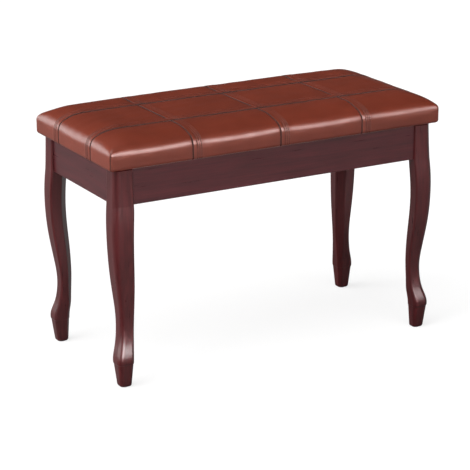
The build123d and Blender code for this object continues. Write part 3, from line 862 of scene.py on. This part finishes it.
def stained_rubberwood(name, grain, dark, light):
    """Rubberwood stained mahogany under satin lacquer, its grain along one axis.

    The grain shows as faint streaks; the lacquer gives a clear but soft reflection.
    """
    material, tree = new_material(name)
    place = object_place(tree)

    def grained(across, along, octaves, **inputs):
        sizes = [along if axis == grain else across for axis in range(3)]
        return noise(tree, stretched(tree, place, sizes), 1.0, octaves, Roughness=0.6, **inputs)

    # growth bands 14 mm wide, streaks of fibre 3 mm wide, and open pores 0.5 mm wide
    bands = grained(14 * MM, 240 * MM, 2.0, Distortion=0.6)
    streaks = grained(3 * MM, 90 * MM, 4.0)
    pores = spread(tree, grained(0.5 * MM, 9 * MM, 2.0), 0.62, 0.72, 0.0, 0.5)
    figure = mix(tree, 0.55, bands, streaks, "FLOAT")
    tone = mix(tree, spread(tree, figure, 0.34, 0.66), rgba(dark), rgba(light))
    stain = mix(tree, pores, tone, rgba([0.4 * c for c in dark]))
    rough = spread(tree, streaks, 0.3, 0.7, 0.27, 0.36)
    sunk = bump(tree, pores, 0.25, 0.06 * MM, invert=True)
    waved = bump(tree, streaks, 0.2, 0.12 * MM, over=sunk)
    principled(tree, {"Base Color": stain, "Roughness": rough, "IOR": 1.5, "Normal": waved})
    return material


def bare_poplar():
    """Sawn poplar, unfinished: matt, pale and streaked along its grain."""
    material, tree = new_material("poplar_sawn")
    # grain 1.6 mm wide, running up the block
    along_grain = stretched(tree, object_place(tree), (1.6 * MM, 1.6 * MM, 45 * MM))
    streaks = noise(tree, along_grain, 1.0, 4.0)
    tone = mix(tree, streaks, rgba(linear("#8F6C42")), rgba(linear("#DDBE8E")))
    sawn = bump(tree, streaks, 0.5, 0.2 * MM)
    principled(tree, {"Base Color": tone, "Roughness": 0.78, "Normal": sawn})
    return material


def birch_plywood():
    """Birch plywood, sanded: pale figured faces, and layers 1.5 mm thick that show on the edges."""
    material, tree = new_material("birch_plywood_sanded")
    place = object_place(tree)
    along_grain = stretched(tree, place, (180 * MM, 9 * MM, 1.5 * MM))
    figure = noise(tree, along_grain, 1.0, 3.0, Distortion=0.8)
    # a ply every 1.5 mm: a sine of the height with a period of two plies
    layers = add_node(
        tree,
        "ShaderNodeTexWave",
        {"Vector": place, "Scale": 0.31416 / (3 * MM), "Distortion": 0.0},
        bands_direction="Z",
    )
    mixed = mix(tree, 0.45, figure, layers.outputs["Fac"], "FLOAT")
    tone = mix(tree, mixed, rgba(linear("#A67F50")), rgba(linear("#E2C695")))
    principled(tree, {"Base Color": tone, "Roughness": 0.6})
    return material


def tempered_hardboard():
    """Hardboard, pressed and oil-tempered: brown, flecked with fibre, with a faint polish."""
    material, tree = new_material("hardboard_tempered")
    # matted fibres about 2.5 mm long
    fibres = noise(tree, object_place(tree), 1 / (2.5 * MM), 5.0, Roughness=0.7)
    flecks = spread(tree, fibres, 0.35, 0.65)
    tone = mix(tree, flecks, rgba(linear("#4A2F1E")), rgba(linear("#7A5538")))
    matted = bump(tree, fibres, 0.4, 0.1 * MM)
    principled(tree, {"Base Color": tone, "Roughness": 0.5, "Normal": matted})
    return material


def spunbond_cloth():
    """Spunbond polypropylene dust cloth: black, matt and point-bonded in a grid."""
    material, tree = new_material("polypropylene_spunbond")
    place = object_place(tree)
    # bond points about 2.4 mm apart
    points = add_node(
        tree,
        "ShaderNodeTexVoronoi",
        {"Vector": place, "Scale": 1 / (2.4 * MM), "Randomness": 0.15},
        feature="F1",
    )
    fuzz = noise(tree, place, 1 / (0.8 * MM), 3.0)
    tone = mix(tree, fuzz, rgba(linear("#141315")), rgba(linear("#2C2A2D")))
    pressed = bump(tree, spread(tree, points.outputs["Distance"], 0.15, 0.35), 0.6, 0.15 * MM)
    sockets = {"Base Color": tone, "Roughness": 0.85, "Sheen Weight": 0.15, "Normal": pressed}
    principled(tree, sockets)
    return material


def moulded_plastic(name, dark, light, roughness):
    """A small moulded part, such as a nylon glide or a rubber bumper: an even, faintly grained skin."""
    material, tree = new_material(name)
    # spark-eroded mould grain, about 0.6 mm
    grain = noise(tree, object_place(tree), 1 / (0.6 * MM), 2.0)
    tone = mix(tree, grain, rgba(linear(dark)), rgba(linear(light)))
    skin = bump(tree, grain, 0.25, 0.05 * MM)
    principled(tree, {"Base Color": tone, "Roughness": roughness, "Normal": skin})
    return material


def plated_steel(name, dark, light, low, high, along):
    """Plated steel: a metal mirror blurred by rolling marks, with a cloudy passivated tint."""
    material, tree = new_material(name)
    place = object_place(tree)
    # rolling marks 0.4 mm wide and as long as the sheet's finish needs
    marks = noise(tree, stretched(tree, place, (0.4 * MM, along, 0.4 * MM)), 1.0, 3.0)
    clouds = noise(tree, place, 1 / (6 * MM), 3.0)
    tone = mix(tree, clouds, rgba(linear(dark)), rgba(linear(light)))
    rough = spread(tree, marks, 0.3, 0.7, low, high)
    rolled = bump(tree, marks, 0.2, 0.03 * MM)
    sockets = {"Base Color": tone, "Metallic": 1.0, "Roughness": rough, "Normal": rolled}
    principled(tree, sockets)
    return material


def studio_floor():
    """Matt white studio floor, with the faint mottle of painted board.

    Seen directly it is lit up to plain white, as under a lamp of its own; what it throws back on
    the bench is the dimmer light of the soft boxes, and a bounce from its lit half.
    """
    material, tree = new_material("painted_board_white")
    place = object_place(tree)
    mottle = noise(tree, place, 0.6, 2.0)
    tone = mix(tree, mottle, rgba([FLOOR_TONE] * 3), rgba([FLOOR_TONE * 1.03] * 3))
    matt = add_node(tree, "ShaderNodeBsdfDiffuse", {"Color": tone, "Roughness": 0.9})
    # the lit half of the floor is in front and to the left of the front left foot
    ahead = dot(tree, place, (-1.0, -1.0, 0.0))
    lit = spread(tree, ahead, 0.5, 0.7, 0.0, FLOOR_BOUNCE, "SMOOTHSTEP")
    path = add_node(tree, "ShaderNodeLightPath")
    bounce = calculate(tree, "MULTIPLY", path.outputs["Is Diffuse Ray"], lit)
    glow = calculate(tree, "MULTIPLY_ADD", path.outputs["Is Camera Ray"], FLOOR_LAMP, bounce)
    lamp = add_node(tree, "ShaderNodeEmission", {"Color": WHITE, "Strength": glow})
    both = add_node(
        tree, "ShaderNodeAddShader", {0: matt.outputs["BSDF"], 1: lamp.outputs["Emission"]}
    )
    add_node(tree, "ShaderNodeOutputMaterial", {"Surface": both.outputs["Shader"]})
    return material


def card_material(name, glow):
    """A lighting card: black napped cotton that takes all light, or a white card that glows."""
    material, tree = new_material(name)
    card = add_node(tree, "ShaderNodeEmission", {"Color": WHITE, "Strength": glow})
    add_node(tree, "ShaderNodeOutputMaterial", {"Surface": card.outputs["Emission"]})
    return material


# ---- operators ---------------------------------------------------------------------------------


class BENCH_OT_wood(bpy.types.Operator):
    """Stains and lacquers the legs and aprons, each with its grain along its length"""

    bl_idname = "bench.wood"
    bl_label = "Legs and aprons"

    def execute(self, context):
        colours = context.scene.bench_colours
        rail = (colours.rail_dark, colours.rail_light)
        leg = (colours.wood_dark, colours.wood_light)
        along_x = stained_rubberwood("rubberwood_stained_long_rail", 0, *rail)
        along_y = stained_rubberwood("rubberwood_stained_short_rail", 1, *rail)
        along_z = stained_rubberwood("rubberwood_stained_leg", 2, *leg)
        for name in ("front_apron", "rear_apron"):
            paint(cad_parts[name], along_x)
        for name in ("left_apron", "right_apron"):
            paint(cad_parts[name], along_y)
        for end in ("front", "rear"):
            for side in ("left", "right"):
                paint(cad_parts[f"{end}_{side}_leg"], along_z)
        return {"FINISHED"}


class BENCH_OT_boards(bpy.types.Operator):
    """Gives the corner blocks, the lid's board and the compartment's panel their raw boards"""

    bl_idname = "bench.boards"
    bl_label = "Blocks and boards"

    def execute(self, context):
        poplar = bare_poplar()
        for end in ("front", "rear"):
            for side in ("left", "right"):
                paint(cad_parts[f"{end}_{side}_corner_block"], poplar)
        paint(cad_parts["lid_board"], birch_plywood())
        paint(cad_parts["bottom_panel"], tempered_hardboard())
        return {"FINISHED"}


class BENCH_OT_hardware(bpy.types.Operator):
    """Plates the hinges, stays and fasteners, and moulds the glides and bumpers"""

    bl_idname = "bench.hardware"
    bl_label = "Hinges, stays and fasteners"

    def execute(self, context):
        # zinc plate on pressed strip: grey, slightly warm, with rolling marks
        strip = plated_steel("steel_zinc_plated_strip", "#9A978E", "#C4C1B7", 0.3, 0.42, 14 * MM)
        # bright zinc on turned and headed fasteners: lighter, with no direction to its marks
        headed = plated_steel("steel_bright_zinc_fastener", "#A8A294", "#CFC9B8", 0.24, 0.36, 0.4 * MM)
        nylon = moulded_plastic("nylon_moulded", "#1D1513", "#2B2120", 0.42)
        rubber = moulded_plastic("rubber_moulded", "#242124", "#343034", 0.62)
        dressed = {
            "plated_steel": strip,
            "fastener_steel": headed,
            "nylon": nylon,
            "bumper_rubber": rubber,
        }
        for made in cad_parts.values():
            slots = [m.name for m in made.data.materials if m]
            if slots and slots[0] in dressed:
                paint(made, dressed[slots[0]])
        return {"FINISHED"}


class BENCH_OT_cushion(bpy.types.Operator):
    """Makes the padded seat: one sewn cover over foam, filled by pressure between its seams"""

    bl_idname = "bench.cushion"
    bl_label = "Padded seat"

    def execute(self, context):
        shape = context.scene.bench_cushion
        grid = fine_grid(shape)
        cover = mesh_object("padded_seat", grid.points, grid.faces)
        fill_cover(cover, shape)
        relief, painted_seam_shade = cover_relief(grid, shape)
        points = read_points(cover.data) + read_normals(cover.data) * relief[:, None]
        write_points(cover.data, points)
        # the painted seam shade is kept on the cover, for its material to darken the seams with
        mask = cover.data.attributes.new("painted_seam_shade", "FLOAT", "POINT")
        mask.data.foreach_set("value", painted_seam_shade.astype(np.float32))
        paint(cover, bonded_leather(context.scene.bench_colours))
        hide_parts("seat_cover", "foam_pad")
        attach(cover, "lid")
        return {"FINISHED"}


class BENCH_OT_topstitching(bpy.types.Operator):
    """Sews three rows of stitches beside each seam, from one border's foot over to the other's"""

    bl_idname = "bench.topstitching"
    bl_label = "Topstitching"

    cover_name: StringProperty(name="Cover", description="The sewn cover", default="padded_seat")

    def execute(self, context):
        stitch = context.scene.bench_stitch
        cover = bpy.data.objects.get(self.cover_name)
        if cover is None:
            raise RuntimeError("make the padded seat before its topstitching")
        grid = fine_grid(context.scene.bench_cushion)
        points = read_points(cover.data)
        normals = read_normals(cover.data)
        rows = [(0, seam + row) for seam, _ in CROSS_SEAMS for row in STITCH_ROWS]
        rows += [(1, seam + row) for seam, _ in LONG_SEAMS for row in STITCH_ROWS]
        parts = [
            stitch_row(points[line], normals[line], stitch)
            for line in (grid.line_of_points(axis, place) for axis, place in rows)
        ]
        made_points, made_faces = joined(parts)
        made = mesh_object("seat_topstitching", made_points, made_faces)
        paint(made, polyester_thread(context.scene.bench_colours))
        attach(made, "lid")
        return {"FINISHED"}


def stitch_row(path, normals, stitch):
    """Points and faces of one row of stitches along a line of the cover.

    Each stitch is a thread of round section carried along a low arch: at a share t of its length
    it stands at sin(pi t) of its height, and its section narrows to a point at both ends.
    """
    steps = np.linalg.norm(np.diff(path, axis=0), axis=1)
    run = np.concatenate([[0.0], np.cumsum(steps)])
    count = int(run[-1] // stitch.pitch)
    starts = (np.arange(count) + 0.5) * stitch.pitch
    share = np.linspace(0, 1, 5)
    at = starts[:, None] + (share[None, :] - 0.5) * stitch.length
    centre = np.stack([np.interp(at, run, path[:, k]) for k in range(3)], axis=-1)
    upward = np.stack([np.interp(at, run, normals[:, k]) for k in range(3)], axis=-1)
    upward = upward / np.linalg.norm(upward, axis=-1, keepdims=True)
    forward = centre[:, -1:] - centre[:, :1]
    forward = forward / np.linalg.norm(forward, axis=-1, keepdims=True)
    sideways = np.cross(forward, upward)
    lift = stitch.thread * (0.62 * np.sin(math.pi * share) - 0.18)
    centre = centre + upward * lift[None, :, None]
    radius = stitch.thread / 2 * np.array([0.0, 0.86, 1.0, 0.86, 0.0])
    around = np.arange(6) * math.pi / 3
    ring = (
        upward[:, 1:4, None] * np.cos(around)[None, None, :, None]
        + sideways[:, 1:4, None] * np.sin(around)[None, None, :, None]
    ) * radius[None, 1:4, None, None]
    middle = (centre[:, 1:4, None] + ring).reshape(count, 18, 3)
    points = np.concatenate([centre[:, :1], middle, centre[:, -1:]], axis=1)
    k = np.arange(6)
    after = (k + 1) % 6
    caps = np.concatenate(
        [
            np.stack([np.zeros(6, int), 1 + after, 1 + k], axis=1),
            np.stack([np.full(6, 19), 13 + k, 13 + after], axis=1),
        ]
    )
    sides = np.concatenate(
        [np.stack([r + k, r + after, r + 6 + after, r + 6 + k], axis=1) for r in (1, 7)]
    )
    offset = (np.arange(count) * 20)[:, None, None]
    return points.reshape(-1, 3), [(caps + offset).reshape(-1, 3), (sides + offset).reshape(-1, 4)]


def joined(parts):
    """Several (points, faces) as one."""
    points, faces, start = [], [], 0
    for part_points, part_faces in parts:
        points.append(part_points)
        faces += [f + start for f in part_faces]
        start += len(part_points)
    return np.concatenate(points), faces


class BENCH_OT_lining(bpy.types.Operator):
    """Stretches the dust cloth over the lid's underside, between its staples"""

    bl_idname = "bench.lining"
    bl_label = "Lid lining"

    def execute(self, context):
        half_x, half_y = LINING_HIGH.x, LINING_HIGH.y
        x, y = np.meshgrid(
            np.linspace(-half_x, half_x, 140), np.linspace(-half_y, half_y, 60), indexing="ij"
        )
        inset = np.minimum(half_x - np.abs(x), half_y - np.abs(y))
        # the cloth hangs by 1.6 mm in the middle, and pulls into ripples between its staples
        sag = 1.6 * MM * (1 - (x / half_x) ** 2) * (1 - (y / half_y) ** 2)
        pull = bell(inset - 12 * MM, 10 * MM) * smoothstep(2 * MM, 9 * MM, inset)
        ripple = 0.45 * MM * pull * (1 + waves(x + y, 5, 70 * MM) + waves(x - y, 6, 55 * MM)) / 2
        z = LINING_LOW.z + 0.25 * MM - sag - np.maximum(ripple, 0)
        points = np.stack([x, y, z], axis=-1).reshape(-1, 3)
        made = mesh_object("lid_dust_cloth", points, [grid_faces(140, 60)])
        thick = made.modifiers.new("thickness", "SOLIDIFY")
        thick.thickness = 0.4 * MM
        thick.offset = 0
        paint(made, spunbond_cloth())
        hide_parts("lid_lining")
        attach(made, "lid")
        return {"FINISHED"}


class BENCH_OT_stage(bpy.types.Operator):
    """Sets the camera, a pale floor and a soft studio dome"""

    bl_idname = "bench.stage"
    bl_label = "Stage"

    def execute(self, context):
        stage = context.scene.bench_stage
        half = stage.floor_size / 2
        x, y = np.meshgrid(np.linspace(-half, half, 7), np.linspace(-half, half, 7), indexing="ij")
        points = np.stack([x, y, np.zeros_like(x)], axis=-1).reshape(-1, 3)
        floor = mesh_object("studio_floor", points, [grid_faces(7, 7)])
        paint(floor, studio_floor())
        self.floor_card("black_flag", "duvetyne_black", *FLAG)
        self.floor_card("white_reflector", "reflector_white", *REFLECTOR)
        self.camera(context, stage)
        self.light(context)
        return {"FINISHED"}

    def floor_card(self, name, material_name, azimuth, half_angle, nearest, glow):
        """A card on the floor that shows only in reflections.

        It is a sector round the front left leg: turned by one parameter and reached by the other.
        """
        turn, reach = np.meshgrid(
            np.radians(azimuth + np.linspace(-half_angle, half_angle, 9)),
            np.linspace(nearest, CARD_REACH, 5),
            indexing="ij",
        )
        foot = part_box("front_left_leg")[0]
        x = foot.x + reach * np.sin(turn)
        y = foot.y + reach * np.cos(turn)
        points = np.stack([x, y, np.full_like(x, 1 * MM)], axis=-1).reshape(-1, 3)
        # the angle runs clockwise from above, so the faces are turned over to look up
        made = mesh_object(name, points, [grid_faces(9, 5)[:, ::-1]])
        paint(made, card_material(material_name, glow))
        made.visible_camera = False
        made.visible_diffuse = False
        made.visible_shadow = False
        made.visible_transmission = False

    def camera(self, context, stage):
        """Places the camera from its yaw, pitch and roll: right, up and backwards are its axes."""
        sin_yaw, cos_yaw = math.sin(stage.yaw), math.cos(stage.yaw)
        sin_pitch, cos_pitch = math.sin(stage.pitch), math.cos(stage.pitch)
        ahead = np.array([sin_yaw * cos_pitch, cos_yaw * cos_pitch, -sin_pitch])
        right = np.array([cos_yaw, -sin_yaw, 0.0])
        up = np.cross(right, ahead)
        cos_roll, sin_roll = math.cos(stage.roll), math.sin(stage.roll)
        axes = np.eye(4)
        axes[:3, 0] = cos_roll * right + sin_roll * up
        axes[:3, 1] = -sin_roll * right + cos_roll * up
        axes[:3, 2] = -ahead
        axes[:3, 3] = stage.camera_place
        data = bpy.data.cameras.new("camera")
        data.lens = stage.lens
        data.sensor_width = 36.0
        data.clip_start, data.clip_end = 0.1, 200.0
        made = bpy.data.objects.new("camera", data)
        context.scene.collection.objects.link(made)
        made.matrix_world = axes.T.tolist()
        context.scene.camera = made

    def light(self, context):
        """A dome that is dark round the horizon, with soft boxes drawn on it by direction.

        A box's light is its strength times two smooth steps: one of how far a direction lies
        across from the box's middle, and one of how far it lies above or below it.
        """
        world = bpy.data.worlds.new("studio_dome")
        context.scene.world = world
        world.use_nodes = True
        tree = world.node_tree
        tree.nodes.clear()
        way = add_node(tree, "ShaderNodeTexCoord").outputs["Generated"]
        total = DOME_BASE
        for box in SOFT_BOXES:
            total = calculate(tree, "ADD", self.soft_box(tree, way, *box), total)
        lit = add_node(tree, "ShaderNodeBackground", {"Color": WHITE, "Strength": total})
        # behind the floor's edge the backdrop is plain white
        plain = add_node(tree, "ShaderNodeBackground", {"Color": WHITE})
        seen = add_node(tree, "ShaderNodeLightPath").outputs["Is Camera Ray"]
        mixed = add_node(
            tree,
            "ShaderNodeMixShader",
            {0: seen, 1: lit.outputs["Background"], 2: plain.outputs["Background"]},
        )
        add_node(tree, "ShaderNodeOutputWorld", {"Surface": mixed.outputs["Shader"]})
        context.scene.view_settings.view_transform = "Standard"
        context.scene.view_settings.look = "None"

    def soft_box(self, tree, way, azimuth, elevation, half_wide, half_high, *rest):
        """One soft box; rest is the last four numbers of SOFT_BOXES, in the same order."""
        soft_wide, soft_high, strength, share = rest
        turn, rise = math.radians(azimuth), math.radians(elevation)
        ahead = (math.sin(turn) * math.cos(rise), math.cos(turn) * math.cos(rise), math.sin(rise))
        across = (math.cos(turn), -math.sin(turn), 0.0)
        above = tuple(np.cross(across, ahead))
        # a share of the strength lights the surfaces, and all of it shows in reflections
        glossy = add_node(tree, "ShaderNodeLightPath").outputs["Is Glossy Ray"]
        glow = spread(tree, glossy, 0.0, 1.0, share * strength, strength)
        sides = ((across, half_wide, soft_wide), (above, half_high, soft_high))
        for axis, half, soft in sides:
            aside = calculate(tree, "ABSOLUTE", dot(tree, way, axis))
            start = math.sin(math.radians(half))
            end = math.sin(math.radians(min(half + soft, 90)))
            glow = spread(tree, aside, start, end, glow, 0.0, "SMOOTHSTEP")
        front = calculate(tree, "GREATER_THAN", dot(tree, way, ahead), 0.0)
        return calculate(tree, "MULTIPLY", front, glow)


# ---- panel, registration and build -------------------------------------------------------------


class BENCH_PT_build(bpy.types.Panel):
    """The bench's parts in the order in which they are made"""

    bl_label = "Piano bench"
    bl_idname = "BENCH_PT_build"
    bl_space_type = "VIEW_3D"
    bl_region_type = "UI"
    bl_category = "Piano bench"

    def draw(self, context):
        for made in OPERATORS:
            self.layout.operator(made.bl_idname)
        for name in ("bench_cushion", "bench_stitch", "bench_colours", "bench_stage"):
            settings = getattr(context.scene, name)
            box = self.layout.box()
            for key in settings.__annotations__:
                box.prop(settings, key)


OPERATORS = (
    BENCH_OT_wood,
    BENCH_OT_boards,
    BENCH_OT_hardware,
    BENCH_OT_cushion,
    BENCH_OT_topstitching,
    BENCH_OT_lining,
    BENCH_OT_stage,
)
GROUPS = {
    "bench_cushion": CushionSettings,
    "bench_stitch": StitchSettings,
    "bench_colours": ColourSettings,
    "bench_stage": StageSettings,
}


def register():
    for made in (*GROUPS.values(), *OPERATORS, BENCH_PT_build):
        bpy.utils.register_class(made)
    for name, group in GROUPS.items():
        setattr(bpy.types.Scene, name, PointerProperty(type=group))


def unregister():
    for name in GROUPS:
        delattr(bpy.types.Scene, name)
    for made in (BENCH_PT_build, *reversed(OPERATORS), *reversed(list(GROUPS.values()))):
        bpy.utils.unregister_class(made)


def main():
    register()
    bpy.ops.bench.wood()
    bpy.ops.bench.boards()
    bpy.ops.bench.hardware()
    bpy.ops.bench.cushion()
    bpy.ops.bench.topstitching()
    bpy.ops.bench.lining()
    bpy.ops.bench.stage()


if __name__ == "__main__":
    main()
